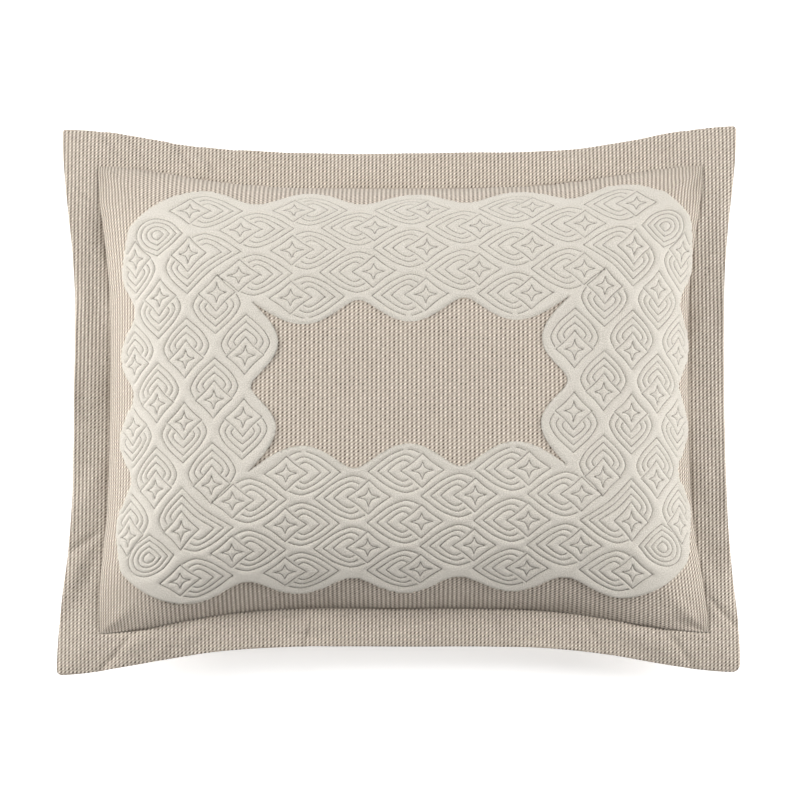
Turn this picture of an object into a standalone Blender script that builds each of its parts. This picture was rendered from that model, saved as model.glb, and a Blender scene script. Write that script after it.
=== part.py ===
"""A flanged pillow sham, filled with its pillow and lying on its back.

Metres, +Z up, origin on the floor under the middle. The face looks up, +X is the long side.
Cloth places are given as u, v: distances along the flat cloth from the middle of the face.
"""

import math

import bmesh
import bpy
import numpy as np
from mathutils.geometry import delaunay_2d_cdt

# Flat pocket of a standard 26 x 20 inch sham, as half sizes
POCKET_U = 0.330
POCKET_V = 0.254

# Filled outline of the seam and of the flange, as half sizes at mid side and at the corners
SEAM_MID_X = 0.3008
SEAM_MID_Y = 0.2205
SEAM_CORNER_X = 0.315
SEAM_CORNER_Y = 0.2450
FLANGE_MID_X = 0.3388
FLANGE_MID_Y = 0.2600
FLANGE_CORNER_X = 0.3545
FLANGE_CORNER_Y = 0.2870
DRAW_IN_POWER = 2.1
EDGE_HOLD = 4
CORNER_REACH = 4

# Filling: rise of the face over the seam, and the belly that the floor flattens under it
SEAM_Z = 0.0600
CROWN = 0.0910
BELLY = 0.0800
CROWN_FLATNESS = 4
CROWN_SHOULDER = 0.75
BELLY_SHOULDER = 0.62

# Doubled cloth of the flange, the gap kept from the seam, and how its free edge sinks
FLANGE_THICK = 0.0030
SOLID_GAP = 0.0003
FLANGE_DROOP = 0.0070
MID_SIDE_DROOP = 0.6
TUCK_REACH = 0.72
CORNER_ROUND = 0.0030

# Grid of the filled body along u and v, and rings across the flange
CELLS_U = 38
CELLS_V = 30
FLANGE_RINGS = 5

# How far each pointed corner strays from the mirror-even outline
CORNER_COLUMNS = ("side_x", "side_y", "seam_dx", "seam_dy", "flange_dx", "flange_dy")
CORNERS = (
    (-1, 1, -0.0010, -0.0005, -0.0005, -0.0005),
    (1, 1, 0.0040, -0.0010, 0.0005, 0.0025),
    (-1, -1, 0.0065, -0.0020, 0.0015, -0.0025),
    (1, -1, 0.0035, -0.0010, -0.0035, 0.0005),
)

# Waves and puckers of the flange: place runs -1 to 1 along its side, rise is at the outer edge,
# tuck is the height of the short pucker that starts at the seam
FLANGE_COLUMNS = ("edge", "place", "half_length", "rise", "tuck")
FLANGE_FOLDS = (
    ("top", -0.86, 0.10, 0.0030, 0.0020),
    ("top", -0.66, 0.07, -0.0035, 0.0030),
    ("top", -0.44, 0.10, 0.0040, -0.0015),
    ("top", -0.12, 0.16, -0.0030, 0.0020),
    ("top", 0.22, 0.16, 0.0035, 0.0015),
    ("top", 0.55, 0.12, -0.0035, 0.0025),
    ("top", 0.82, 0.10, 0.0040, -0.0020),
    ("right", 0.74, 0.18, -0.0060, -0.0020),
    ("right", 0.34, 0.16, 0.0050, 0.0020),
    ("right", -0.02, 0.16, -0.0040, -0.0015),
    ("right", -0.38, 0.16, 0.0040, 0.0020),
    ("right", -0.72, 0.14, -0.0055, -0.0020),
    ("bottom", -0.85, 0.09, 0.0040, 0.0025),
    ("bottom", -0.66, 0.08, -0.0035, 0.0020),
    ("bottom", -0.28, 0.10, 0.0045, 0.0035),
    ("bottom", 0.05, 0.18, -0.0030, -0.0015),
    ("bottom", 0.42, 0.14, 0.0035, 0.0020),
    ("bottom", 0.76, 0.12, -0.0040, 0.0020),
    ("left", 0.72, 0.16, 0.0050, 0.0020),
    ("left", 0.40, 0.14, -0.0055, -0.0030),
    ("left", 0.02, 0.16, 0.0060, 0.0020),
    ("left", -0.36, 0.14, -0.0035, 0.0015),
    ("left", -0.76, 0.12, 0.0050, -0.0025),
)

# Quilted frame: where it lies on the cloth and how thick its double cloth stands
FRAME_SHIFT = (0.0108, 0.0)
FRAME_LIFT = 0.0011
PUFF_THICK = 0.0028
GROOVE_THICK = 0.0010
EDGE_THICK = 0.0014
EDGE_MARGIN = 0.0038
GROOVE_REACH = 0.0024

# Repeat of its leaves: rows of the top and bottom bands, columns of the side bands
ROW_PITCH_U = 0.1060
ROW_FIRST_V = 0.0893
ROW_STEP_V = 0.0255
COLUMN_PITCH_V = 0.0880
COLUMN_FIRST_U = 0.1667
COLUMN_STEP_U = 0.0311
LEAVES_TURN_U = -0.0700
ROW_COUNTS = (3, 4, 5, 4, 5)
COLUMN_COUNTS = (2, 3, 4, 3, 4)
SHARED_ROW = 2

# Scalloped edges of the frame: notch line, depth of the bulges, softness of the notches
OUTER_NOTCH_V = 0.2010
OUTER_DEPTH_V = 0.0205
OUTER_NOTCH_U = 0.3020
OUTER_DEPTH_U = 0.0130
OUTER_CORNER_U = 0.3000
OUTER_CORNER_V = 0.1850
OUTER_SOFTNESS = 0.6
CORNER_FALL_POWER = 1.6
CORNER_SWING_POWER = 0.7
CORNER_NIP = 0.0015
WINDOW_NOTCH_V = 0.0850
WINDOW_DEPTH_V = 0.0235
WINDOW_NOTCH_U = 0.1600
WINDOW_DEPTH_U = 0.0265
WINDOW_SOFTNESS = 0.35
CLEFT_SOFTNESS = 0.03
OUTLINE_STEP = 0.0088

# Spots that carry the cloth between the lines: search step, least distance, least room
PUFF_SPOTS = (0.0020, 0.0086, 0.0026)
UNDERSIDE_SPOTS = (0.0040, 0.0155, 0.0090)

# Leaf motif: half sizes of lozenge and star, then each arch from its start to its tip
LOZENGE_ALONG = 0.0190
LOZENGE_ACROSS = 0.0192
LOZENGE_STRETCH_SHARE = 0.5
STAR_SHARE = 0.46
STAR_WAIST = 0.45
ARCH_COLUMNS = ("start", "start_b", "shoulder", "shoulder_b", "flank", "flank_b", "tip")
ARCHES = (
    (0.0030, 0.0205, 0.0140, 0.0240, 0.0270, 0.0160, 0.0420),
    (0.0085, 0.0140, 0.0150, 0.0158, 0.0215, 0.0105, 0.0310),
)
LEAF_MIDDLE = 0.0115
FLAT_LEAF_STRETCH = (1.30, 0.88)
CORNER_LEAF_U = 0.2660
CORNER_LEAF_V = 0.1710
CORNER_LEAF_SHARE = 0.85

MATERIALS = {
    "filled_body": ("taupe_pique", (0.520, 0.440, 0.365), 0.90),
    "flange": ("taupe_flange", (0.490, 0.410, 0.335), 0.90),
    "matelasse_frame": ("ivory_matelasse", (0.780, 0.745, 0.680), 0.86),
}


def clear_scene():
    for item in list(bpy.data.objects):
        bpy.data.objects.remove(item, do_unlink=True)


def rows_as_dicts(columns, rows):
    return [dict(zip(columns, row)) for row in rows]


def draw_in(share):
    """0 at mid side, 1 at a corner: how far the outline has swung out to its corner."""
    return np.sin(0.5 * np.pi * np.abs(share) ** DRAW_IN_POWER) ** 2


def outline_point(p, q, mid, corner, shift_keys):
    """Plan place of the spot p, q (each -1 to 1) inside a drawn-in outline."""
    x = mid[0] * p + (corner[0] - mid[0]) * draw_in(q) * p * np.abs(p) ** EDGE_HOLD
    y = mid[1] * q + (corner[1] - mid[1]) * draw_in(p) * q * np.abs(q) ** EDGE_HOLD
    for row in rows_as_dicts(CORNER_COLUMNS, CORNERS):
        near_x = np.clip(p * row["side_x"], 0, 1) ** CORNER_REACH
        near_y = np.clip(q * row["side_y"], 0, 1) ** CORNER_REACH
        x = x + row[shift_keys[0]] * near_x * near_y
        y = y + row[shift_keys[1]] * near_x * near_y
    return x, y


def seam_place(p, q):
    mid = (SEAM_MID_X, SEAM_MID_Y)
    corner = (SEAM_CORNER_X, SEAM_CORNER_Y)
    return outline_point(p, q, mid, corner, ("seam_dx", "seam_dy"))


def flange_place(p, q):
    mid = (FLANGE_MID_X, FLANGE_MID_Y)
    corner = (FLANGE_CORNER_X, FLANGE_CORNER_Y)
    return outline_point(p, q, mid, corner, ("flange_dx", "flange_dy"))


def swell(p, q, height, shoulder):
    fall_p = np.clip(1 - np.abs(p) ** CROWN_FLATNESS, 0, 1)
    fall_q = np.clip(1 - np.abs(q) ** CROWN_FLATNESS, 0, 1)
    return height * (fall_p * fall_q) ** shoulder


def share_from_cloth(distance, half_cloth, half_plan):
    """The share of the half width reached after a distance along the crowned cloth."""
    share = np.linspace(0, 1, 4001)
    rise = swell(share, 0 * share, CROWN, CROWN_SHOULDER)
    steps = np.hypot(np.diff(share * half_plan), np.diff(rise))
    arc = np.concatenate([[0], np.cumsum(steps)])
    arc *= half_cloth / arc[-1]
    return np.sign(distance) * np.interp(np.abs(distance), arc, share)


def face_point(u, v):
    """The face of the filled sham at a place u, v on its cloth."""
    p = share_from_cloth(u, POCKET_U, SEAM_MID_X)
    q = share_from_cloth(v, POCKET_V, SEAM_MID_Y)
    x, y = seam_place(p, q)
    z = SEAM_Z + FLANGE_THICK / 2 + swell(p, q, CROWN, CROWN_SHOULDER)
    return np.stack([x, y, z], axis=-1)


def face_normal(u, v):
    step = 0.0005
    along = face_point(u + step, v) - face_point(u - step, v)
    across = face_point(u, v + step) - face_point(u, v - step)
    normal = np.cross(along, across)
    return normal / np.linalg.norm(normal, axis=-1, keepdims=True)


def grid_shares():
    cloth_u = np.linspace(-POCKET_U, POCKET_U, CELLS_U + 1)
    cloth_v = np.linspace(-POCKET_V, POCKET_V, CELLS_V + 1)
    p = share_from_cloth(cloth_u, POCKET_U, SEAM_MID_X)
    q = share_from_cloth(cloth_v, POCKET_V, SEAM_MID_Y)
    return p, q


def rim_shares():
    """The shares p, q of the rim points, going round the seam against the clock."""
    p, q = grid_shares()
    rim = [(share, -1.0) for share in p[:-1]]
    rim += [(1.0, share) for share in q[:-1]]
    rim += [(share, 1.0) for share in p[:0:-1]]
    rim += [(-1.0, share) for share in q[:0:-1]]
    return np.array(rim)


def add_object(name, bm):
    """A named object from a bmesh, shaded smooth, with its own cloth material."""
    bmesh.ops.recalc_face_normals(bm, faces=bm.faces)
    mesh = bpy.data.meshes.new(name)
    bm.to_mesh(mesh)
    bm.free()
    mesh.shade_smooth()
    item = bpy.data.objects.new(name, mesh)
    bpy.context.scene.collection.objects.link(item)
    material_name, colour, roughness = MATERIALS[name]
    material = bpy.data.materials.new(material_name)
    material.use_nodes = True
    shader = material.node_tree.nodes["Principled BSDF"]
    shader.inputs["Base Color"].default_value = (*colour, 1)
    shader.inputs["Roughness"].default_value = roughness
    shader.inputs["Metallic"].default_value = 0
    mesh.materials.append(material)
    return item


def make_filled_body():
    """Crowned face, short seam wall, and a belly pressed flat on the floor."""
    p, q = grid_shares()
    p_grid, q_grid = np.meshgrid(p, q, indexing="ij")
    x, y = seam_place(p_grid, q_grid)
    wall = FLANGE_THICK / 2
    top = SEAM_Z + wall + swell(p_grid, q_grid, CROWN, CROWN_SHOULDER)
    under = SEAM_Z - wall - swell(p_grid, q_grid, BELLY, BELLY_SHOULDER)
    under = np.maximum(under, 0)

    bm = bmesh.new()
    layers = []
    for height in (top, under):
        places = np.stack([x, y, height], axis=-1)
        layers.append([[bm.verts.new(place) for place in line] for line in places])
    for layer, turn in zip(layers, (1, -1)):
        for i in range(CELLS_U):
            for j in range(CELLS_V):
                corners = (layer[i][j], layer[i + 1][j], layer[i + 1][j + 1], layer[i][j + 1])
                bm.faces.new(corners[::turn])

    def rim_of(layer):
        rim = [layer[i][0] for i in range(CELLS_U)]
        rim += [layer[CELLS_U][j] for j in range(CELLS_V)]
        rim += [layer[i][CELLS_V] for i in range(CELLS_U, 0, -1)]
        rim += [layer[0][j] for j in range(CELLS_V, 0, -1)]
        return rim

    upper, lower = rim_of(layers[0]), rim_of(layers[1])
    for k, corner in enumerate(upper):
        after = (k + 1) % len(upper)
        bm.faces.new((corner, lower[k], lower[after], upper[after]))

    resting = [face for face in bm.faces if all(vert.co.z < 1e-7 for vert in face.verts)]
    bmesh.ops.dissolve_faces(bm, faces=resting, use_verts=True)
    return add_object("filled_body", bm)


def fold_heights(edge, place):
    """Rise at the outer edge and tuck near the seam that the folds give at a place."""
    rise, tuck = 0.0, 0.0
    for row in rows_as_dicts(FLANGE_COLUMNS, FLANGE_FOLDS):
        if row["edge"] != edge:
            continue
        away = abs(place - row["place"]) / row["half_length"]
        if away < 1:
            bump = math.cos(0.5 * math.pi * away) ** 2
            rise += row["rise"] * bump
            tuck += row["tuck"] * bump
    return rise, tuck


def flange_edge_at(p, q):
    if abs(q) >= 1:
        return ("top" if q > 0 else "bottom"), p
    return ("right" if p > 0 else "left"), q


def make_flange():
    """A ring of doubled cloth from the seam to the flange's free edge."""
    rim = rim_shares()
    p, q = rim[:, 0], rim[:, 1]
    inner = np.stack(seam_place(p, q), axis=-1)
    outer = np.stack(flange_place(p, q), axis=-1)
    along = np.roll(inner, -1, axis=0) - np.roll(inner, 1, axis=0)
    outward = np.stack([along[:, 1], -along[:, 0]], axis=-1)
    outward /= np.linalg.norm(outward, axis=1, keepdims=True)
    at_corner = (np.abs(p) == 1) & (np.abs(q) == 1)
    stretch = np.where(at_corner, math.sqrt(2), 1.0)
    inner += outward * (SOLID_GAP * stretch)[:, None]
    outer -= outward * (CORNER_ROUND * at_corner)[:, None]

    bm = bmesh.new()
    sections = []
    for k in range(len(rim)):
        edge, place = flange_edge_at(p[k], q[k])
        rise, tuck = fold_heights(edge, place)
        droop_share = MID_SIDE_DROOP + (1 - MID_SIDE_DROOP) * draw_in(place)
        top, under = [], []
        for ring in range(FLANGE_RINGS + 1):
            t = ring / FLANGE_RINGS
            x, y = inner[k] + (outer[k] - inner[k]) * t
            droop = FLANGE_DROOP * droop_share * t * t
            tucked = tuck * math.sin(math.pi * min(1, t / TUCK_REACH))
            z = SEAM_Z - droop + rise * t * t + tucked
            top.append(bm.verts.new((x, y, z + FLANGE_THICK / 2)))
            under.append(bm.verts.new((x, y, z - FLANGE_THICK / 2)))
        sections.append(top + under[::-1])
    for k, section in enumerate(sections):
        after = sections[(k + 1) % len(sections)]
        for j in range(len(section)):
            following = (j + 1) % len(section)
            bm.faces.new((section[j], section[following], after[following], after[j]))
    return add_object("flange", bm)


def scallop(place, pitch, softness):
    """1 on top of each bulge and 0 in each notch, with the notch rounded by softness."""
    wave = np.sqrt(np.cos(np.pi * place / pitch) ** 2 + softness**2) - softness
    return wave / (math.sqrt(1 + softness**2) - softness)


def steps_to(length):
    """Places from 0 to a length, one outline step or so apart."""
    return np.linspace(0, length, round(length / OUTLINE_STEP) + 1)


def outer_edge():
    """The frame's outer edge on the cloth: five bulges along, four up, square-set corners."""
    last_u, last_v = 2 * ROW_PITCH_U, 1.5 * COLUMN_PITCH_V
    top_v, far_u = OUTER_NOTCH_V + OUTER_DEPTH_V, OUTER_NOTCH_U + OUTER_DEPTH_U
    quarter = []
    for u in steps_to(last_u)[:-1]:
        bulge = scallop(u, ROW_PITCH_U, OUTER_SOFTNESS)
        quarter.append((u, OUTER_NOTCH_V + OUTER_DEPTH_V * bulge))
    for share in np.linspace(0, 0.9, 9):
        v = top_v - (top_v - OUTER_CORNER_V) * share**CORNER_FALL_POWER
        quarter.append((last_u + (OUTER_CORNER_U - last_u) * share, v))
    quarter.append((OUTER_CORNER_U - CORNER_NIP, OUTER_CORNER_V - CORNER_NIP))
    for share in np.linspace(0.22, 1, 6):
        u = OUTER_CORNER_U + (far_u - OUTER_CORNER_U) * share**CORNER_SWING_POWER
        quarter.append((u, OUTER_CORNER_V + (last_v - OUTER_CORNER_V) * share))
    for v in steps_to(last_v)[-2::-1]:
        bulge = scallop(v - COLUMN_PITCH_V / 2, COLUMN_PITCH_V, OUTER_SOFTNESS)
        quarter.append((OUTER_NOTCH_U + OUTER_DEPTH_U * bulge, v))
    return mirrored_loop(quarter)


def window_edge():
    """The window's edge: three bulges along, two up, and sharp clefts at its corners."""
    quarter = []
    for u in steps_to(1.5 * ROW_PITCH_U)[:-1]:
        softness = WINDOW_SOFTNESS if u < ROW_PITCH_U else CLEFT_SOFTNESS
        v = WINDOW_NOTCH_V - WINDOW_DEPTH_V * scallop(u, ROW_PITCH_U, softness)
        quarter.append((u, v))
    quarter.append((WINDOW_NOTCH_U, WINDOW_NOTCH_V))
    for v in steps_to(COLUMN_PITCH_V)[-2::-1]:
        softness = WINDOW_SOFTNESS if v < COLUMN_PITCH_V / 2 else CLEFT_SOFTNESS
        bulge = scallop(v - COLUMN_PITCH_V / 2, COLUMN_PITCH_V, softness)
        quarter.append((WINDOW_NOTCH_U - WINDOW_DEPTH_U * bulge, v))
    return mirrored_loop(quarter)


def mirrored_loop(quarter):
    """A closed loop, clockwise from the top, out of its upper right quarter."""
    quarter = np.array(quarter)
    right = np.vstack([quarter, quarter[::-1] * (1, -1)])
    loop = np.vstack([right, right[::-1] * (-1, 1)]) + FRAME_SHIFT
    distinct = np.linalg.norm(loop - np.roll(loop, 1, axis=0), axis=1) > 1e-6
    return loop[distinct]


def star_lines(stretch):
    """The lozenge and the waisted star in it, about the lozenge's middle."""
    along = LOZENGE_ALONG * (1 + LOZENGE_STRETCH_SHARE * (stretch[0] - 1))
    across = LOZENGE_ACROSS * stretch[1]
    lozenge = [(along, 0), (0, across), (-along, 0), (0, -across), (along, 0)]
    star = []
    for k in range(9):
        reach = STAR_SHARE if k % 2 == 0 else STAR_SHARE * STAR_WAIST
        turn = k * math.pi / 4
        star.append((along * reach * math.cos(turn), across * reach * math.sin(turn)))
    return [np.array(lozenge), np.array(star)]


def arch_lines(stretch):
    """The nested arches of one leaf: tip along +a from the lozenge's middle, lobes across b."""
    lines = []
    for row in rows_as_dicts(ARCH_COLUMNS, ARCHES):
        lobe = [(row["start"], row["start_b"]), (row["shoulder"], row["shoulder_b"])]
        lobe += [(row["flank"], row["flank_b"]), (row["tip"], 0)]
        lobe = np.array(lobe) * stretch
        lines.append(np.vstack([lobe, lobe[-2::-1] * (1, -1)]))
    return lines


def placed(lines, place, direction):
    """Lines turned so that their tip points right, left, up or down, at a place."""
    c, s = {"right": (1, 0), "left": (-1, 0), "up": (0, 1), "down": (0, -1)}[direction]
    turn = np.array(((c, s), (-s, c)))
    return [line @ turn + place + FRAME_SHIFT for line in lines]


def column_leaves():
    """Lozenge places and directions of the side bands' leaves, in half-drop columns."""
    leaves = []
    for column, count in enumerate(COLUMN_COUNTS):
        for k in range(count):
            direction = column_direction(k, count)
            v = (k - (count - 1) / 2) * COLUMN_PITCH_V
            v += LEAF_MIDDLE if direction == "down" else -LEAF_MIDDLE
            u = COLUMN_FIRST_U + column * COLUMN_STEP_U
            leaves += [((side * u, v), direction) for side in (1, -1)]
    return leaves


def column_direction(k, count):
    """Even columns meet tip to tip in pairs; odd columns point up but for their top leaf."""
    if count % 2:
        return "down" if k == count - 1 else "up"
    return "down" if (k + count // 2) % 2 else "up"


def row_leaves():
    """Lozenge places and directions of the top and bottom bands' leaves, in half-drop rows."""
    leaves = []
    middle = LEAF_MIDDLE * FLAT_LEAF_STRETCH[0]
    for row, count in enumerate(ROW_COUNTS):
        for k in range(count):
            centre = (k - (count - 1) / 2) * ROW_PITCH_U
            direction = "right" if centre < LEAVES_TURN_U else "left"
            u = centre - middle if direction == "right" else centre + middle
            v = ROW_FIRST_V + row * ROW_STEP_V
            if row == SHARED_ROW and k in (0, count - 1):
                continue
            leaves += [((u, side * v), direction) for side in (1, -1)]
    return leaves


def quilting_lines():
    lines = []
    for place, direction in column_leaves():
        motif = star_lines((1.0, 1.0)) + arch_lines((1.0, 1.0))
        lines += placed(motif, place, direction)
    for place, direction in row_leaves():
        motif = star_lines(FLAT_LEAF_STRETCH) + arch_lines(FLAT_LEAF_STRETCH)
        lines += placed(motif, place, direction)
    shared_u = COLUMN_FIRST_U + SHARED_ROW * COLUMN_STEP_U
    shared_v = 1.5 * COLUMN_PITCH_V + LEAF_MIDDLE
    corner_leaf = [line * CORNER_LEAF_SHARE for line in arch_lines((1.0, 1.0))]
    for side_u, direction in ((1, "left"), (-1, "right")):
        for side_v in (1, -1):
            shared = (side_u * shared_u, side_v * shared_v)
            lines += placed(arch_lines(FLAT_LEAF_STRETCH), shared, direction)
            corner = (side_u * CORNER_LEAF_U, side_v * CORNER_LEAF_V)
            lines += placed(corner_leaf, corner, direction)
    return lines


def inside(points, loop):
    """Even-odd test of many points against one closed loop."""
    x, y = points[:, :1], points[:, 1:2]
    a, b = loop, np.roll(loop, -1, axis=0)
    crosses = (a[:, 1] > y) != (b[:, 1] > y)
    slope = (b[:, 0] - a[:, 0]) / np.where(b[:, 1] == a[:, 1], 1e-12, b[:, 1] - a[:, 1])
    hits = crosses & (x < a[:, 0] + (y - a[:, 1]) * slope)
    return hits.sum(axis=1) % 2 == 1


def distance_to(points, lines):
    """Distance of many points to the nearest of many lines."""
    starts = np.concatenate([line[:-1] for line in lines])
    spans = np.concatenate([line[1:] for line in lines]) - starts
    lengths = np.maximum((spans**2).sum(axis=1), 1e-12)
    best = np.full(len(points), np.inf)
    for first in range(0, len(points), 2000):
        part = points[first : first + 2000, None]
        t = np.clip(((part - starts) * spans).sum(axis=2) / lengths, 0, 1)
        gap = np.linalg.norm(part - starts - t[..., None] * spans, axis=2)
        best[first : first + 2000] = gap.min(axis=1)
    return best


def closed_line(loop):
    return np.vstack([loop, loop[:1]])


def clipped(lines, loops):
    """The stretches of the lines that keep the plain margin to the frame's edges."""
    edges = [closed_line(loop) for loop in loops]
    kept = []
    for line in lines:
        held = inside(line, loops[0]) & ~inside(line, loops[1])
        held &= distance_to(line, edges) > EDGE_MARGIN
        stretch = []
        for point, good in zip(line, held):
            if good:
                stretch.append(point)
                continue
            if len(stretch) > 1:
                kept.append(np.array(stretch))
            stretch = []
        if len(stretch) > 1:
            kept.append(np.array(stretch))
    return kept


def open_spots(lines, loops, spots):
    """The middles of the fields between quilting lines, widest first and well apart."""
    fine, apart, clear = spots
    reach_u, reach_v = OUTER_NOTCH_U + OUTER_DEPTH_U, OUTER_NOTCH_V + OUTER_DEPTH_V
    u, v = np.meshgrid(np.arange(-reach_u, reach_u, fine), np.arange(-reach_v, reach_v, fine))
    places = np.stack([u.ravel(), v.ravel()], axis=-1) + FRAME_SHIFT
    places = places[inside(places, loops[0]) & ~inside(places, loops[1])]
    room = distance_to(places, lines + [closed_line(loop) for loop in loops])
    order = np.argsort(-room, kind="stable")
    chosen = []
    cells = {}
    for index in order:
        if room[index] < clear:
            break
        place = places[index]
        cell = (int(place[0] // apart), int(place[1] // apart))
        near = [
            other
            for i in (-1, 0, 1)
            for j in (-1, 0, 1)
            for other in cells.get((cell[0] + i, cell[1] + j), ())
        ]
        if all(math.dist(place, other) > apart for other in near):
            cells.setdefault(cell, []).append(tuple(place))
            chosen.append(place)
    return np.array(chosen)


def triangulated(loops, lines, loose):
    """Places and triangles of the frame's cloth, with the loops' points listed first."""
    points, edges = [], []
    for loop in loops:
        first = len(points)
        points += [tuple(point) for point in loop]
        edges += [(first + k, first + (k + 1) % len(loop)) for k in range(len(loop))]
    for line in lines:
        first = len(points)
        points += [tuple(point) for point in line]
        edges += [(first + k, first + k + 1) for k in range(len(line) - 1)]
    points += [tuple(point) for point in loose]
    places, _, triangles, origins, _, _ = delaunay_2d_cdt(points, edges, [], 0, 1e-5)
    places = np.array([tuple(place) for place in places])
    triangles = np.array([tuple(triangle) for triangle in triangles])
    middles = places[triangles].mean(axis=1)
    triangles = triangles[inside(middles, loops[0]) & ~inside(middles, loops[1])]
    new_index = {old: new for new, olds in enumerate(origins) for old in olds}
    rims = []
    first = 0
    for loop in loops:
        rims.append([new_index[first + k] for k in range(len(loop))])
        first += len(loop)
    return places, triangles, rims


def make_matelasse_frame():
    """Double-cloth frame lying on the crown, its quilting lines drawn in between soft puffs."""
    loops = [outer_edge(), window_edge()]
    lines = clipped(quilting_lines(), loops)
    puffs = open_spots(lines, loops, PUFF_SPOTS)
    plain = open_spots([], loops, UNDERSIDE_SPOTS)
    top = triangulated(loops, lines, puffs)
    under = triangulated(loops, [], plain)

    bm = bmesh.new()
    rims = []
    for (places, triangles, rim), is_top in ((top, True), (under, False)):
        thick = np.zeros(len(places))
        if is_top:
            room = np.clip(distance_to(places, lines) / GROOVE_REACH, 0, 1)
            thick = GROOVE_THICK + (PUFF_THICK - GROOVE_THICK) * room
            thick[[k for loop in rim for k in loop]] = EDGE_THICK
        surface = face_point(places[:, 0], places[:, 1])
        normal = face_normal(places[:, 0], places[:, 1])
        surface = surface + normal * (FRAME_LIFT + thick)[:, None]
        verts = [bm.verts.new(point) for point in surface]
        for a, b, c in triangles:
            corners = (verts[a], verts[b], verts[c])
            bm.faces.new(corners if is_top else corners[::-1])
        rims.append([[verts[k] for k in loop] for loop in rim])
    for upper, lower in zip(*rims):
        for k, corner in enumerate(upper):
            after = (k + 1) % len(upper)
            bm.faces.new((corner, upper[after], lower[after], lower[k]))
    loose = [vert for vert in bm.verts if not vert.link_faces]
    bmesh.ops.delete(bm, geom=loose, context="VERTS")
    return add_object("matelasse_frame", bm)


def main():
    clear_scene()
    make_filled_body()
    make_flange()
    make_matelasse_frame()


main()
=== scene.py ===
# %% [markdown]
# # A flanged pillow sham in taupe and ivory
# The sham is a cotton cover with a pillow inside. It lies on its back, so the crowned face looks
# up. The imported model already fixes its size, and this file gives it cloth that can be looked at
# closely: a woven ground, a puffed ivory frame with quilting lines, and a creased flange.

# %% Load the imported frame
import math

import bpy
import numpy as np
from mathutils import Matrix, Vector
from mathutils.geometry import delaunay_2d_cdt
from mathutils.kdtree import KDTree


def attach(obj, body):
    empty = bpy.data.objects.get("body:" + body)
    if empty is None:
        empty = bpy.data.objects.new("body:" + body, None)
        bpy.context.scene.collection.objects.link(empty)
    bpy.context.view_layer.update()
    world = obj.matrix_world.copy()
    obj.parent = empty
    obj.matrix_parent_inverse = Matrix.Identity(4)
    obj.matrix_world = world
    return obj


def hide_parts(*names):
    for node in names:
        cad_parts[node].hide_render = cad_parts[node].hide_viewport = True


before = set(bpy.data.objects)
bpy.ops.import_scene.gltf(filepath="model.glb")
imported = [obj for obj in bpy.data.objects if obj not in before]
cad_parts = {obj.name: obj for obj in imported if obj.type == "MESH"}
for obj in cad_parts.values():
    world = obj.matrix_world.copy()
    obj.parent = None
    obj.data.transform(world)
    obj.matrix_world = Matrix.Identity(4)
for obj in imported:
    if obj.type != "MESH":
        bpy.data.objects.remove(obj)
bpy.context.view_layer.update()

# %% [markdown]
# ## Camera
# The picture is taken from nearly straight above, from far away, so the outline hardly narrows
# towards the top. A long lens from 4 m gives that. The camera stands 9 degrees off the vertical,
# towards the bottom edge of the face, which lets the lower slope of the filling show.

# %% Camera over the face
SEAM_Z = 0.0600
CAMERA_AWAY = 4.0
CAMERA_TILT = math.radians(9.0)
CAMERA_TURN = math.radians(2.0)
PICTURE_WIDTH = 0.832

sideways = math.sin(CAMERA_TURN) * math.sin(CAMERA_TILT)
downwards = -math.cos(CAMERA_TURN) * math.sin(CAMERA_TILT)
towards_camera = Vector((sideways, downwards, math.cos(CAMERA_TILT)))
aim = Vector((0.0009, -0.0035, SEAM_Z))

rightwards = Vector((0, 1, 0)).cross(towards_camera).normalized()
upwards = towards_camera.cross(rightwards)
axes = Matrix((rightwards, upwards, towards_camera)).transposed()

camera = bpy.data.objects.new("camera", bpy.data.cameras.new("camera"))
camera.location = aim + CAMERA_AWAY * towards_camera
camera.rotation_euler = axes.to_euler()
camera.data.lens = camera.data.sensor_width * CAMERA_AWAY / PICTURE_WIDTH
camera.data.clip_end = 50
bpy.context.scene.collection.objects.link(camera)
bpy.context.scene.camera = camera
bpy.context.scene.view_settings.view_transform = "Standard"
print(f"lens {camera.data.lens:.0f} mm from {CAMERA_AWAY} m")

# %% [markdown]
# ## Floor and light
# A pale floor and three soft lamps are enough. Two low lamps, left and right, light the side
# slopes and give each quilting line a dark and a bright side. The left one is a little stronger.
# A large one stands high over the top edge, so the top slope is brighter than the bottom one.

# %% Floor, lamps and sky
def plain_material(name, colour, glow=0.0):
    material = bpy.data.materials.new(name)
    material.use_nodes = True
    shader = material.node_tree.nodes["Principled BSDF"]
    shader.inputs["Base Color"].default_value = (*colour, 1)
    shader.inputs["Roughness"].default_value = 0.95
    shader.inputs["Emission Color"].default_value = (1, 1, 1, 1)
    shader.inputs["Emission Strength"].default_value = glow
    return material


def soft_lamp(name, place, size, watts):
    light = bpy.data.lights.new(name, "AREA")
    light.size = size
    light.energy = watts
    lamp = bpy.data.objects.new(name, light)
    lamp.location = place
    away = Vector(place) - Vector((0, 0, SEAM_Z))
    lamp.rotation_euler = away.to_track_quat("Z", "Y").to_euler()
    bpy.context.scene.collection.objects.link(lamp)
    return lamp


FLOOR_HALF, FLOOR_GREY, FLOOR_GLOW, SKY = 4.0, 0.86, 0.55, 0.24
floor_mesh = bpy.data.meshes.new("floor")
floor_corners = [(x, y, 0) for x, y in ((-1, -1), (1, -1), (1, 1), (-1, 1))]
floor_mesh.from_pydata([tuple(FLOOR_HALF * c for c in p) for p in floor_corners], [], [(0, 1, 2, 3)])
floor = bpy.data.objects.new("floor", floor_mesh)
floor_mesh.materials.append(plain_material("pale_floor", (FLOOR_GREY,) * 3, glow=FLOOR_GLOW))
bpy.context.scene.collection.objects.link(floor)

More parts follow.
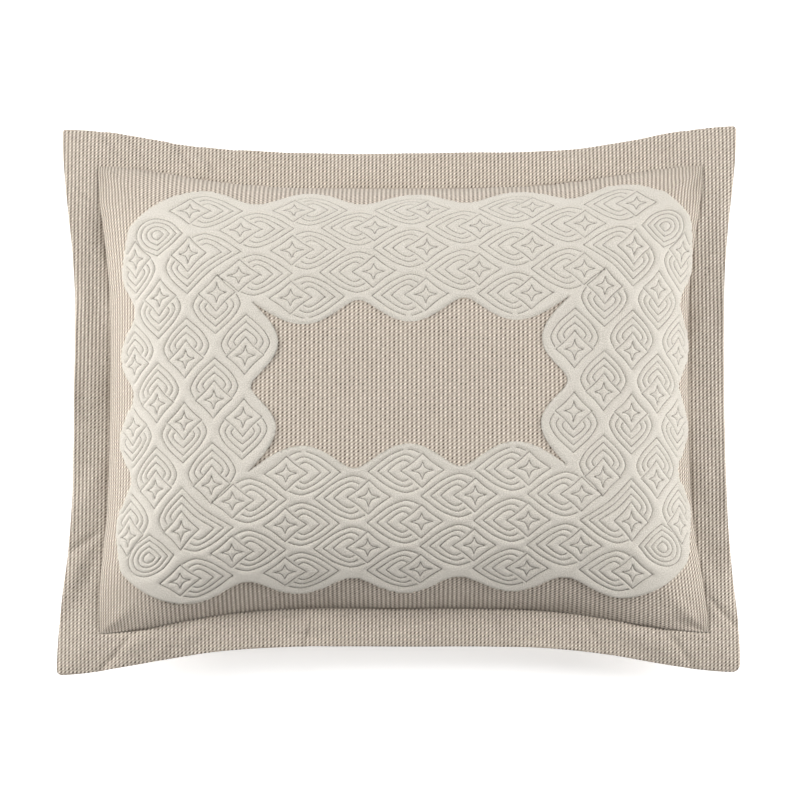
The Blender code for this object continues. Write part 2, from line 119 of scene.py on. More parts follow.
soft_lamp("main_lamp", (-2.60, 0.55, 1.30), 1.0, 84)
soft_lamp("side_lamp", (2.60, 0.25, 1.35), 1.2, 74)
soft_lamp("top_lamp", (0.0, 1.35, 2.95), 2.0, 34)

world = bpy.data.worlds.new("studio")
world.use_nodes = True
world.node_tree.nodes["Background"].inputs["Color"].default_value = (1, 1, 1, 1)
world.node_tree.nodes["Background"].inputs["Strength"].default_value = SKY
bpy.context.scene.world = world

# %% [markdown]
# ## The shape of the filled cloth
# A sham is cut flat, 660 x 508 mm inside its seam, and the pillow pushes it up. Cloth doesn't
# stretch, so the sides draw in between the corners. Every later piece asks one function where a
# spot of the flat cloth, (u, v) from the middle, lies in space, so all of them fit together.

# %% Outline, crown and cloth distances
POCKET_U, POCKET_V = 0.330, 0.254
SEAM_MID, SEAM_CORNER = (0.3008, 0.2205), (0.315, 0.2450)
FLANGE_MID, FLANGE_CORNER = (0.3388, 0.2600), (0.3545, 0.2870)
DRAW_IN_POWER, EDGE_HOLD, CORNER_REACH = 2.1, 4, 4
CROWN, CROWN_FLATNESS, CROWN_SHOULDER = 0.0910, 4, 0.75
BELLY, BELLY_SHOULDER = 0.0800, 0.62
FLANGE_THICK = 0.0030

CORNER_COLUMNS = ("side_x", "side_y", "seam_dx", "seam_dy", "flange_dx", "flange_dy")
CORNERS = (
    (-1, 1, -0.0010, -0.0005, -0.0005, -0.0005),
    (1, 1, 0.0040, -0.0010, 0.0005, 0.0025),
    (-1, -1, 0.0065, -0.0020, 0.0015, -0.0025),
    (1, -1, 0.0035, -0.0010, -0.0035, 0.0005),
)


def rows_as_dicts(columns, rows):
    return [dict(zip(columns, row)) for row in rows]


def draw_in(share):
    return np.sin(0.5 * np.pi * np.abs(share) ** DRAW_IN_POWER) ** 2


def outline_point(p, q, mid, corner, shift_keys):
    x = mid[0] * p + (corner[0] - mid[0]) * draw_in(q) * p * np.abs(p) ** EDGE_HOLD
    y = mid[1] * q + (corner[1] - mid[1]) * draw_in(p) * q * np.abs(q) ** EDGE_HOLD
    for row in rows_as_dicts(CORNER_COLUMNS, CORNERS):
        near = np.clip(p * row["side_x"], 0, 1) ** CORNER_REACH
        near = near * np.clip(q * row["side_y"], 0, 1) ** CORNER_REACH
        x = x + row[shift_keys[0]] * near
        y = y + row[shift_keys[1]] * near
    return x, y


def seam_place(p, q):
    return outline_point(p, q, SEAM_MID, SEAM_CORNER, ("seam_dx", "seam_dy"))


def flange_place(p, q):
    return outline_point(p, q, FLANGE_MID, FLANGE_CORNER, ("flange_dx", "flange_dy"))


def swell(p, q, height, shoulder):
    fall_p = np.clip(1 - np.abs(p) ** CROWN_FLATNESS, 0, 1)
    fall_q = np.clip(1 - np.abs(q) ** CROWN_FLATNESS, 0, 1)
    return height * (fall_p * fall_q) ** shoulder


def share_from_cloth(distance, half_cloth, half_plan):
    share = np.linspace(0, 1, 4001)
    rise = swell(share, 0 * share, CROWN, CROWN_SHOULDER)
    arc = np.concatenate([[0], np.cumsum(np.hypot(np.diff(share * half_plan), np.diff(rise)))])
    return np.sign(distance) * np.interp(np.abs(distance), arc * half_cloth / arc[-1], share)


def smooth_face(u, v):
    """The crowned face without its creases."""
    p = share_from_cloth(u, POCKET_U, SEAM_MID[0])
    q = share_from_cloth(v, POCKET_V, SEAM_MID[1])
    x, y = seam_place(p, q)
    z = SEAM_Z + FLANGE_THICK / 2 + swell(p, q, CROWN, CROWN_SHOULDER)
    return np.stack([x, y, z], axis=-1)


print("face height at the middle:", smooth_face(np.zeros(1), np.zeros(1)).round(4).tolist())

# %% [markdown]
# ## Creases of the pocket
# Cloth that is pulled over a filling puckers where it is sewn: short ripples leave the seam, and
# longer folds run in from the corners. Simulating them would move the outline, which the packed
# model has fixed, so they are added along the normal, each as one soft ridge.

# %% Puckers at the seam, folds at the corners, slow waves between
dice = np.random.default_rng(5)
PUCKER_PITCH, PUCKER_SWAY = 0.0165, 0.005


def seam_puckers(half_side):
    """Places, half widths, reaches and heights of the ripples along one side."""
    places = np.arange(-half_side + 0.010, half_side - 0.008, PUCKER_PITCH)
    places = places + dice.uniform(-PUCKER_SWAY, PUCKER_SWAY, len(places))
    nearer_corner = np.abs(places / half_side) ** 3
    widths = dice.uniform(0.0035, 0.0075, len(places))
    reaches = dice.uniform(0.009, 0.020, len(places)) * (1 + 1.2 * nearer_corner)
    heights = dice.uniform(-0.0007, 0.0010, len(places)) * (1 + 0.8 * nearer_corner)
    return np.stack([places, widths, reaches, heights], axis=1)


PUCKERS = {side: seam_puckers(POCKET_U) for side in ("top", "bottom")}
PUCKERS |= {side: seam_puckers(POCKET_V) for side in ("left", "right")}

FOLD_COLUMNS = ("side_u", "side_v", "turn_degrees", "length", "height", "width")
CORNER_FOLDS = (
    (-1, 1, 38, 0.085, 0.0024, 0.0060),
    (-1, 1, 62, 0.060, -0.0016, 0.0055),
    (1, 1, 40, 0.100, 0.0030, 0.0055),
    (1, 1, 66, 0.075, -0.0022, 0.0060),
    (-1, -1, 36, 0.080, 0.0022, 0.0060),
    (-1, -1, 14, 0.060, -0.0014, 0.0060),
    (1, -1, 42, 0.090, 0.0024, 0.0060),
    (1, -1, 20, 0.065, -0.0018, 0.0055),
)


def crease_height(u, v):
    """How far the cloth stands off its smooth shape at u, v."""
    height = 0.0008 * np.sin(u / 0.043 + 1.1) * np.sin(v / 0.051 + 0.4)
    height += 0.0006 * np.sin(u / 0.021 - v / 0.029) * np.sin(v / 0.037 + 2.0)
    sides = {
        "top": (u, POCKET_V - v),
        "bottom": (u, POCKET_V + v),
        "right": (v, POCKET_U - u),
        "left": (v, POCKET_U + u),
    }
    edge_room = np.minimum(POCKET_U - np.abs(u), POCKET_V - np.abs(v))
    for side, (place, away) in sides.items():
        for centre, width, reach, rise in PUCKERS[side]:
            near = np.abs(place - centre) < 3 * width
            ripple = np.exp(-(((place[near] - centre) / width) ** 2) - away[near] / reach)
            height[near] += rise * ripple
    for row in rows_as_dicts(FOLD_COLUMNS, CORNER_FOLDS):
        turn = math.radians(row["turn_degrees"])
        from_u = POCKET_U - u * row["side_u"]
        from_v = POCKET_V - v * row["side_v"]
        along = from_u * math.cos(turn) + from_v * math.sin(turn)
        across = from_v * math.cos(turn) - from_u * math.sin(turn)
        width = row["width"] * (0.6 + 1.2 * along / row["length"])
        bump = np.sin(np.pi * np.clip(along / row["length"], 0, 1)) ** 1.3
        height += row["height"] * bump * np.exp(-((across / width) ** 2))
    return height * np.clip(edge_room / 0.004, 0, 1)


def face_frame(u, v):
    """Point and normal of the creased face at u, v."""
    step = 0.0005
    along = smooth_face(u + step, v) - smooth_face(u - step, v)
    across = smooth_face(u, v + step) - smooth_face(u, v - step)
    normal = np.cross(along, across)
    normal /= np.maximum(np.linalg.norm(normal, axis=-1, keepdims=True), 1e-12)
    return smooth_face(u, v) + normal * crease_height(u, v)[..., None], normal


print("puckers:", sum(len(rows) for rows in PUCKERS.values()), "corner folds:", len(CORNER_FOLDS))

# %% [markdown]
# ## From numbers to meshes
# Each piece is computed as arrays of points, faces and cloth places. One helper turns them into
# a mesh. The cloth places become a UV map in metres, so a weave keeps its true size and its
# direction on every piece, as on one cut of cloth.

# %% Mesh helper
def cloth_object(name, points, faces, cloth_uv, material):
    mesh = bpy.data.meshes.new(name)
    mesh.from_pydata(points.tolist(), [], faces)
    mesh.shade_smooth()
    corners = np.zeros(len(mesh.loops), np.int32)
    mesh.loops.foreach_get("vertex_index", corners)
    layer = mesh.uv_layers.new(name="cloth")
    layer.uv.foreach_set("vector", cloth_uv[corners].astype(np.float32).ravel())
    mesh.materials.append(material)
    piece = bpy.data.objects.new(name, mesh)
    bpy.context.scene.collection.objects.link(piece)
    mesh.calc_loop_triangles()
    print(f"{name}: {len(mesh.loop_triangles)} triangles")
    return piece


def grid_faces(first, rows, columns, flip=False):
    faces = []
    for i in range(rows - 1):
        for j in range(columns - 1):
            a = first + i * columns + j
            face = (a, a + columns, a + columns + 1, a + 1)
            faces.append(face[::-1] if flip else face)
    return faces


# %% [markdown]
# ## Node helpers
# Weaves are drawn by arithmetic on the cloth places, so a short helper that adds one Math node
# keeps the recipes readable.

# %% Arithmetic nodes
def calc(tree, operation, *values):
    node = tree.nodes.new("ShaderNodeMath")
    node.operation = operation
    for socket, value in zip(node.inputs, values):
        if isinstance(value, (int, float)):
            socket.default_value = value
        else:
            tree.links.new(value, socket)
    return node.outputs[0]


def ramp(tree, value, low, high, from_value=0.0, to_value=1.0):
    node = tree.nodes.new("ShaderNodeMapRange")
    node.interpolation_type = "SMOOTHSTEP"
    tree.links.new(value, node.inputs["Value"])
    for key, number in zip(("From Min", "From Max", "To Min", "To Max"), (low, high, from_value, to_value)):
        node.inputs[key].default_value = number
    return node.outputs["Result"]


def blend_colours(tree, share, first, second):
    node = tree.nodes.new("ShaderNodeMix")
    node.data_type = "RGBA"
    for socket, value in ((node.inputs[0], share), (node.inputs[6], first), (node.inputs[7], second)):
        if isinstance(value, tuple):
            socket.default_value = (*value, 1)
        elif isinstance(value, float):
            socket.default_value = value
        else:
            tree.links.new(value, socket)
    return node.outputs[2]


def cloth_places(tree):
    node = tree.nodes.new("ShaderNodeUVMap")
    node.uv_map = "cloth"
    split = tree.nodes.new("ShaderNodeSeparateXYZ")
    tree.links.new(node.outputs[0], split.inputs[0])
    return node.outputs[0], split.outputs[0], split.outputs[1]


def mottling(tree, places, size, detail=2.0):
    node = tree.nodes.new("ShaderNodeTexNoise")
    node.inputs["Scale"].default_value = 1 / size
    node.inputs["Detail"].default_value = detail
    tree.links.new(places, node.inputs["Vector"])
    return node.outputs["Fac"]


def raised(tree, shader, height, distance, strength):
    node = tree.nodes.new("ShaderNodeBump")
    node.inputs["Distance"].default_value = distance
    node.inputs["Strength"].default_value = strength
    tree.links.new(height, node.inputs["Height"])
    tree.links.new(node.outputs["Normal"], shader.inputs["Normal"])


# %% [markdown]
# ## The taupe pique
# The ground is a small-figured weave: short cream floats lean to the right in straight rows and
# columns, and a pit lies half a repeat beside each one, where the cloth dips; its near-black
# colour is painted shade. Both are ellipses on a grid. They drive the colour and the bump
# together. The pocket's cloth is pulled a little wider by the filling than the flange's, so its
# repeat is larger.

# %% Woven ground
POCKET_REPEAT, FLANGE_REPEAT = (0.00450, 0.00355), (0.00400, 0.00335)
FLOAT_LEAN = math.radians(49)
FLOAT_HALF, PIT_HALF = (0.0014, 0.00080), (0.0013, 0.00072)
WANDER = 0.0008


def slanted_spots(tree, x, y, repeat, shift, half, soft):
    """1 inside each slanted ellipse of the grid, 0 between them."""
    column = calc(tree, "ADD", calc(tree, "DIVIDE", x, repeat[0]), shift)
    row = calc(tree, "DIVIDE", y, repeat[1])
    a = calc(tree, "MULTIPLY", calc(tree, "SUBTRACT", calc(tree, "FRACT", column), 0.5), repeat[0])
    b = calc(tree, "MULTIPLY", calc(tree, "SUBTRACT", calc(tree, "FRACT", row), 0.5), repeat[1])
    cos, sin = math.cos(FLOAT_LEAN), math.sin(FLOAT_LEAN)
    along = calc(tree, "ADD", calc(tree, "MULTIPLY", a, cos), calc(tree, "MULTIPLY", b, sin))
    across = calc(tree, "SUBTRACT", calc(tree, "MULTIPLY", b, cos), calc(tree, "MULTIPLY", a, sin))
    long_share = calc(tree, "POWER", calc(tree, "ABSOLUTE", calc(tree, "DIVIDE", along, half[0])), 2)
    wide_share = calc(tree, "POWER", calc(tree, "ABSOLUTE", calc(tree, "DIVIDE", across, half[1])), 2)
    reach = calc(tree, "SQRT", calc(tree, "ADD", long_share, wide_share))
    return ramp(tree, reach, 1 + soft, 1 - soft)


def pique_material(name, repeat, ground, float_colour, pit_shade_colour, relief):
    material = bpy.data.materials.new(name)
    material.use_nodes = True
    tree = material.node_tree
    shader = tree.nodes["Principled BSDF"]
    places, x, y = cloth_places(tree)
    wander = mottling(tree, places, 0.004)
    x = calc(tree, "ADD", x, calc(tree, "MULTIPLY", calc(tree, "SUBTRACT", wander, 0.5), WANDER))
    floats = slanted_spots(tree, x, y, repeat, 0.0, FLOAT_HALF, 0.35)
    # The pits are the weave's hollows; below they get a near-black colour, which is painted shade.
    shaded_pits = slanted_spots(tree, x, y, repeat, 0.5, PIT_HALF, 0.40)
    uneven = ramp(tree, mottling(tree, places, 0.0024), 0.34, 0.66, 0.45, 1.0)
    floats = calc(tree, "MULTIPLY", floats, uneven)
    patchy = ramp(tree, mottling(tree, places, 0.0031), 0.34, 0.66, 0.55, 1.0)
    shaded_pits = calc(tree, "MULTIPLY", shaded_pits, patchy)
    cloud = mottling(tree, places, 0.06)
    colour = blend_colours(tree, cloud, ground, tuple(0.93 * c for c in ground))
    colour = blend_colours(tree, floats, colour, float_colour)
    # Painted shade: the pits are coloured near-black where the cloth dips.
    colour = blend_colours(tree, shaded_pits, colour, pit_shade_colour)
    tree.links.new(colour, shader.inputs["Base Color"])
    shader.inputs["Roughness"].default_value = 0.92
    shader.inputs["Specular IOR Level"].default_value = 0.25
    shader.inputs["Sheen Weight"].default_value = 0.12
    shader.inputs["Sheen Roughness"].default_value = 0.5
    height = calc(tree, "SUBTRACT", floats, calc(tree, "MULTIPLY", shaded_pits, 0.8))
    height = calc(tree, "ADD", height, calc(tree, "MULTIPLY", mottling(tree, places, 0.0009), 0.25))
    raised(tree, shader, height, relief, 0.9)
    return material


TAUPE = (0.470, 0.405, 0.335)
# The pit colour is painted shade: near-black for the hollows of the weave.
CREAM, PIT_SHADE = (0.86, 0.77, 0.67), (0.075, 0.053, 0.036)
taupe_pique = pique_material("taupe_pique", POCKET_REPEAT, TAUPE, CREAM, PIT_SHADE, 0.0007)
taupe_flange = pique_material("taupe_flange", FLANGE_REPEAT, TAUPE, CREAM, PIT_SHADE, 0.0008)
print("repeats of the weave:", POCKET_REPEAT, FLANGE_REPEAT, "m")

# %% [markdown]
# ## The pocket
# The pocket is the stuffed part between the seams, a face and a back sewn at their rim. A cloth
# simulation could puff it, but the frame already fixes the crown, so a fine grid over the flat
# cloth is lifted onto it with its creases. The back flattens where it rests on the floor.

# %% Face and back of the pocket
FACE_CELL = 0.0030


def rim_order(rows, columns):
    """Grid indices round the edge, against the clock seen from above, u along the rows."""
    rim = [i * columns for i in range(rows - 1)]
    rim += [(rows - 1) * columns + j for j in range(columns - 1)]
    rim += [i * columns + columns - 1 for i in range(rows - 1, 0, -1)]
    rim += [j for j in range(columns - 1, 0, -1)]
    return rim


def make_pocket():
    rows, columns = round(2 * POCKET_U / FACE_CELL) + 1, round(2 * POCKET_V / FACE_CELL) + 1
    u, v = np.meshgrid(
        np.linspace(-POCKET_U, POCKET_U, rows), np.linspace(-POCKET_V, POCKET_V, columns), indexing="ij"
    )
    u, v = u.ravel(), v.ravel()
    face, _ = face_frame(u, v)
    p = share_from_cloth(u, POCKET_U, SEAM_MID[0])
    q = share_from_cloth(v, POCKET_V, SEAM_MID[1])
    x, y = seam_place(p, q)
    rim_room = np.clip((1 - np.maximum(np.abs(p), np.abs(q))) / 0.05, 0, 1)
    ripple = 0.0010 * np.sin(u / 0.0085) * np.sin(v / 0.0105 + 1) * rim_room * (1 - rim_room) * 4
    z = SEAM_Z - FLANGE_THICK / 2 - swell(p, q, BELLY, BELLY_SHOULDER) + ripple
    back = np.stack([x, y, np.maximum(z, 0)], axis=1)
    count = rows * columns
    faces = grid_faces(0, rows, columns) + grid_faces(count, rows, columns, flip=True)
    rim = rim_order(rows, columns)
    for k, corner in enumerate(rim):
        after = rim[(k + 1) % len(rim)]
        faces.append((corner, corner + count, after + count, after))
    cloth = np.stack([u, v], axis=1)
    cloth = np.concatenate([cloth, cloth * (-1, 1)])
    return cloth_object("pocket", np.concatenate([face, back]), faces, cloth, taupe_pique)


pocket = make_pocket()
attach(pocket, "root")
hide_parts("filled_body")

# %% [markdown]
# ## The flange
# Outside the seam the face cloth and the back cloth run on together as a flat border, 38 mm
# wide. Washing leaves it wavy, with small pleats pressed in across it. The border is a ring of
# strips, each a section through both layers with a rounded free edge.

# %% Waves and pleats of the flange
WAVE_COLUMNS = ("edge", "place", "half_length", "rise", "tuck")
FLANGE_WAVES = (
    ("top", -0.86, 0.10, 0.0030, 0.0020),
    ("top", -0.66, 0.07, -0.0035, 0.0030),
    ("top", -0.44, 0.10, 0.0040, -0.0015),
    ("top", -0.12, 0.16, -0.0030, 0.0020),
    ("top", 0.22, 0.16, 0.0035, 0.0015),
    ("top", 0.55, 0.12, -0.0035, 0.0025),
    ("top", 0.82, 0.10, 0.0040, -0.0020),
    ("right", 0.74, 0.18, -0.0060, -0.0020),
    ("right", 0.34, 0.16, 0.0050, 0.0020),
    ("right", -0.02, 0.16, -0.0040, -0.0015),
    ("right", -0.38, 0.16, 0.0040, 0.0020),
    ("right", -0.72, 0.14, -0.0055, -0.0020),
    ("bottom", -0.85, 0.09, 0.0040, 0.0025),
    ("bottom", -0.66, 0.08, -0.0035, 0.0020),
    ("bottom", -0.28, 0.10, 0.0045, 0.0035),
    ("bottom", 0.05, 0.18, -0.0030, -0.0015),
    ("bottom", 0.42, 0.14, 0.0035, 0.0020),
    ("bottom", 0.76, 0.12, -0.0040, 0.0020),
    ("left", 0.72, 0.16, 0.0050, 0.0020),
    ("left", 0.40, 0.14, -0.0055, -0.0030),
    ("left", 0.02, 0.16, 0.0060, 0.0020),
    ("left", -0.36, 0.14, -0.0035, 0.0015),
    ("left", -0.76, 0.12, 0.0050, -0.0025),
)

PLEAT_COLUMNS = ("edge", "place", "half_width", "depth")
PLEATS = (
    ("top", -0.90, 0.014, 0.0030),
    ("top", -0.83, 0.016, 0.0017),
    ("top", -0.69, 0.014, 0.0030),
    ("top", -0.62, 0.013, 0.0027),
    ("top", -0.51, 0.014, 0.0015),
    ("top", -0.42, 0.012, 0.0013),
    ("top", 0.73, 0.012, 0.0011),
    ("top", 0.87, 0.014, 0.0019),
    ("bottom", -0.885, 0.014, 0.0027),
    ("bottom", -0.71, 0.018, 0.0019),
    ("bottom", -0.29, 0.007, 0.0030),
    ("bottom", 0.20, 0.012, 0.0013),
    ("bottom", 0.31, 0.012, 0.0019),
    ("bottom", 0.62, 0.014, 0.0017),
    ("bottom", 0.88, 0.014, 0.0023),
    ("left", 0.86, 0.016, 0.0015),
    ("left", -0.62, 0.018, 0.0023),
    ("right", 0.55, 0.018, 0.0017),
    ("right", -0.88, 0.016, 0.0023),
)
FLANGE_DROOP, MID_SIDE_DROOP, TUCK_REACH = 0.0070, 0.6, 0.72


def flange_height(edge, place, t):
    """Height over the seam plane at a place along one edge, t from the seam out."""
    sink = FLANGE_DROOP * (MID_SIDE_DROOP + (1 - MID_SIDE_DROOP) * draw_in(place))
    height = -sink * t**2
    for row in rows_as_dicts(WAVE_COLUMNS, FLANGE_WAVES):
        if row["edge"] == edge:
            away = np.clip(np.abs(place - row["place"]) / row["half_length"], 0, 1)
            bump = np.cos(0.5 * np.pi * away) ** 2
            tucked = row["tuck"] * np.sin(np.pi * np.clip(t / TUCK_REACH, 0, 1))
            height = height + bump * (row["rise"] * t**2 + tucked)
    for row in rows_as_dicts(PLEAT_COLUMNS, PLEATS):
        if row["edge"] == edge:
            cleft = np.exp(-(((place - row["place"]) / row["half_width"]) ** 2))
            height = height - row["depth"] * cleft * np.clip(t / 0.35, 0, 1)
    return height


# %% The flange as one ring
CORNER_RADII = {"bottom": 0.0050, "right": 0.0080, "top": 0.0030, "left": 0.0030}
FLANGE_STEP = 0.0025
SEAM_SINK, SEAM_SINK_REACH = 0.0011, 0.045
TOP_RINGS = np.array([-0.03, 0.0, 0.03, 0.07, 0.12, 0.18, *np.linspace(0.25, 0.93, 14), 0.97])
UNDER_RINGS = np.linspace(0.97, -0.03, 10)


def rim_of_cloth():
    """Edge name, and cloth place of the seam, round the rim against the clock."""
    long = np.linspace(-POCKET_U, POCKET_U, round(2 * POCKET_U / FLANGE_STEP) + 1)[:-1]
    tall = np.linspace(-POCKET_V, POCKET_V, round(2 * POCKET_V / FLANGE_STEP) + 1)[:-1]
    edges = ["bottom"] * len(long) + ["right"] * len(tall)
    edges += ["top"] * len(long) + ["left"] * len(tall)
    u = np.concatenate([long, np.full(len(tall), POCKET_U), -long, np.full(len(tall), -POCKET_U)])
    v = np.concatenate([np.full(len(long), -POCKET_V), tall, np.full(len(long), POCKET_V), -tall])
    return np.array(edges), u, v


def rounded_corners(outer, edges):
    """The outline with the corner that starts each edge turned on its small radius."""
    outer = outer.copy()
    starts = [k for k in range(len(edges)) if edges[k] != edges[k - 1]]
    for k in starts:
        tip, radius = outer[k].copy(), CORNER_RADII[edges[k]]
        before, after = outer[k - 8] - tip, outer[(k + 8) % len(outer)] - tip
        before, after = before / np.linalg.norm(before), after / np.linalg.norm(after)
        centre = tip + radius * (before + after)
        for j in range(-8, 9):
            at = (k + j) % len(outer)
            if np.linalg.norm(outer[at] - tip) < radius:
                spoke = outer[at] - centre
                outer[at] = centre + spoke * radius / np.linalg.norm(spoke)
    return outer


def make_flange():
    edges, u, v = rim_of_cloth()
    p = share_from_cloth(u, POCKET_U, SEAM_MID[0])
    q = share_from_cloth(v, POCKET_V, SEAM_MID[1])
    inner = np.stack(seam_place(p, q), axis=1)
    outer = rounded_corners(np.stack(flange_place(p, q), axis=1), edges)
    place = np.where((edges == "top") | (edges == "bottom"), p, q)
    half = FLANGE_THICK / 2
    rounding = np.linspace(0, math.pi, 6)[1:-1]
    sections = [(t, half) for t in TOP_RINGS]
    sections += [(0.97 + 0.03 * math.sin(a), half * math.cos(a)) for a in rounding]
    sections += [(t, -half) for t in UNDER_RINGS]
    points, cloth = [], []
    for t, lift in sections:
        xy = inner + (outer - inner) * t
        z = np.empty(len(u))
        for edge in ("top", "bottom", "left", "right"):
            on = edges == edge
            z[on] = SEAM_Z + flange_height(edge, place[on], max(t, 0)) + lift
        if lift > 0:
            z -= SEAM_SINK * math.exp(-((max(t, 0) / SEAM_SINK_REACH) ** 2))
        points.append(np.column_stack([xy, z]))
        cloth.append(xy)
    count = len(u)
    faces = []
    for ring in range(len(sections)):
        below, above = ring * count, ((ring + 1) % len(sections)) * count
        for k in range(count):
            after = (k + 1) % count
            faces.append((below + k, above + k, above + after, below + after))
    return cloth_object("flange_border", np.concatenate(points), faces, np.concatenate(cloth), taupe_flange)


flange_border = make_flange()
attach(flange_border, "root")
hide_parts("flange")

# %% [markdown]
# ## Where the ivory frame lies
# The frame is a second, ivory layer woven over the ground. Its edges are rows of even bulges
# that meet in notches: five along and four up outside, three and two round the window. One
# rounded wave gives them all, and one quarter is mirrored to the rest. Filling the sham pulled
# the cloth a little on the bias, so the frame leans.

# %% Scalloped edges
FRAME_SHIFT, FRAME_SKEW = (0.0108, 0.0), 0.021
ROW_PITCH_U, ROW_FIRST_V, ROW_STEP_V = 0.1071, 0.0888, 0.0255
COLUMN_PITCH_V, COLUMN_FIRST_U, COLUMN_STEP_U = 0.0856, 0.1667, 0.0311
OUTER_NOTCH_V, OUTER_DEPTH_V = 0.2010, 0.0205
OUTER_NOTCH_U, OUTER_DEPTH_U = 0.2925, 0.0200
OUTER_CORNER_U, OUTER_CORNER_V = 0.2960, 0.1770
OUTER_SOFTNESS, WINDOW_SOFTNESS, CLEFT_SOFTNESS = 0.6, 0.35, 0.03
CORNER_FALL_POWER, CORNER_SWING_POWER = 1.6, 0.7
WINDOW_NOTCH_V, WINDOW_DEPTH_V = 0.0850, 0.0235
WINDOW_NOTCH_U, WINDOW_DEPTH_U = 0.1600, 0.0265
EDGE_STEP = 0.0018


def scallop(place, pitch, softness):
    wave = np.sqrt(np.cos(np.pi * place / pitch) ** 2 + softness**2) - softness
    return wave / (math.sqrt(1 + softness**2) - softness)


def steps_to(length):
    return np.linspace(0, length, round(length / EDGE_STEP) + 1)


def pulled(points):
    """The frame's own places, laid on the cloth: moved, and pulled a little on the bias."""
    return points + FRAME_SKEW * points[:, ::-1] + FRAME_SHIFT


def mirrored_loop(quarter):
    quarter = np.array(quarter)
    right = np.vstack([quarter, quarter[::-1] * (1, -1)])
    loop = pulled(np.vstack([right, right[::-1] * (-1, 1)]))
    distinct = np.linalg.norm(loop - np.roll(loop, 1, axis=0), axis=1) > 0.0004
    return loop[distinct]


def outer_edge():
    last_u, last_v = 2 * ROW_PITCH_U, 1.5 * COLUMN_PITCH_V
    top_v, far_u = OUTER_NOTCH_V + OUTER_DEPTH_V, OUTER_NOTCH_U + OUTER_DEPTH_U
    quarter = []
    for u in steps_to(last_u)[:-1]:
        quarter.append((u, OUTER_NOTCH_V + OUTER_DEPTH_V * scallop(u, ROW_PITCH_U, OUTER_SOFTNESS)))
    for share in np.linspace(0, 0.97, 48):
        v = top_v - (top_v - OUTER_CORNER_V) * share**CORNER_FALL_POWER
        quarter.append((last_u + (OUTER_CORNER_U - last_u) * share, v))
    for share in np.linspace(0.02, 1, 32):
        u = OUTER_CORNER_U + (far_u - OUTER_CORNER_U) * share**CORNER_SWING_POWER
        quarter.append((u, OUTER_CORNER_V + (last_v - OUTER_CORNER_V) * share))
    for v in steps_to(last_v)[-2::-1]:
        bulge = scallop(v - COLUMN_PITCH_V / 2, COLUMN_PITCH_V, OUTER_SOFTNESS)
        quarter.append((OUTER_NOTCH_U + OUTER_DEPTH_U * bulge, v))
    return mirrored_loop(quarter)


def window_edge():
    quarter = []
    for u in steps_to(1.5 * ROW_PITCH_U)[:-1]:
        softness = WINDOW_SOFTNESS if u < ROW_PITCH_U else CLEFT_SOFTNESS
        quarter.append((u, WINDOW_NOTCH_V - WINDOW_DEPTH_V * scallop(u, ROW_PITCH_U, softness)))
    quarter.append((WINDOW_NOTCH_U, WINDOW_NOTCH_V))
    for v in steps_to(COLUMN_PITCH_V)[-2::-1]:
        softness = WINDOW_SOFTNESS if v < COLUMN_PITCH_V / 2 else CLEFT_SOFTNESS
        bulge = scallop(v - COLUMN_PITCH_V / 2, COLUMN_PITCH_V, softness)
        quarter.append((WINDOW_NOTCH_U - WINDOW_DEPTH_U * bulge, v))
    return mirrored_loop(quarter)


LOOPS = [outer_edge(), window_edge()]
print("edge points:", [len(loop) for loop in LOOPS])

# %% [markdown]
# ## The quilting lines
# The pattern is one leaf, repeated in half-drop rows and columns: a lozenge with a waisted star
# in it, and three nested arches that run to a point. Each line is given by a few knots, and a
# spline through them gives the soft curve that a row of stitches has.

# %% One leaf
LOZENGE_ALONG, LOZENGE_ACROSS, LOZENGE_STRETCH_SHARE = 0.0190, 0.0192, 0.5
LOZENGE_BOW, STAR_SHARE, STAR_WAIST = 0.07, 0.50, 0.40
ARCH_KNOTS = (
    ((0.0030, 0.0205), (0.0085, 0.0236), (0.0150, 0.0240), (0.0270, 0.0165), (0.0420, 0.0)),
    ((0.0078, 0.0152), (0.0112, 0.0176), (0.0155, 0.0176), (0.0235, 0.0120), (0.0345, 0.0)),
    ((0.0110, 0.0098), (0.0134, 0.0116), (0.0160, 0.0114), (0.0205, 0.0078), (0.0268, 0.0)),
)
LEAF_MIDDLE = 0.0115
FLAT_LEAF_STRETCH = (1.30, 0.88)
STITCH_STEP = 0.0014


def through_knots(knots):
    """A spline through the knots, sampled a stitch apart."""
    knots = np.array(knots)
    padded_knots = np.vstack([2 * knots[0] - knots[1], knots, 2 * knots[-1] - knots[-2]])
    curve = []
    for k in range(1, len(padded_knots) - 2):
        a, b, c, d = padded_knots[k - 1 : k + 3]
        t = np.linspace(0, 1, 24, endpoint=False)[:, None]
        cubic = 2 * b + (c - a) * t + (2 * a - 5 * b + 4 * c - d) * t**2
        curve.append(0.5 * (cubic + (3 * b - a - 3 * c + d) * t**3))
    curve = np.vstack(curve + [knots[-1:]])
    return evenly(curve)


def evenly(curve):
    length = np.concatenate([[0], np.cumsum(np.linalg.norm(np.diff(curve, axis=0), axis=1))])
    wanted = np.linspace(0, length[-1], max(2, round(length[-1] / STITCH_STEP) + 1))
    return np.stack([np.interp(wanted, length, curve[:, i]) for i in (0, 1)], axis=1)


def bowed_ring(tips, bow):
    """Lines between tips, each bowed in towards the middle."""
    sides = []
    for a, b in zip(tips, tips[1:] + tips[:1]):
        a, b = np.array(a), np.array(b)
        sides.append(through_knots([a, (a + b) / 2 * (1 - bow), b]))
    return sides


def star_lines(stretch):
    along = LOZENGE_ALONG * (1 + LOZENGE_STRETCH_SHARE * (stretch[0] - 1))
    across = LOZENGE_ACROSS * stretch[1]
    tips = [(along, 0), (0, across), (-along, 0), (0, -across)]
    small = [(STAR_SHARE * a, STAR_SHARE * b) for a, b in tips]
    return bowed_ring(tips, LOZENGE_BOW) + bowed_ring(small, 1 - STAR_WAIST * 1.5)


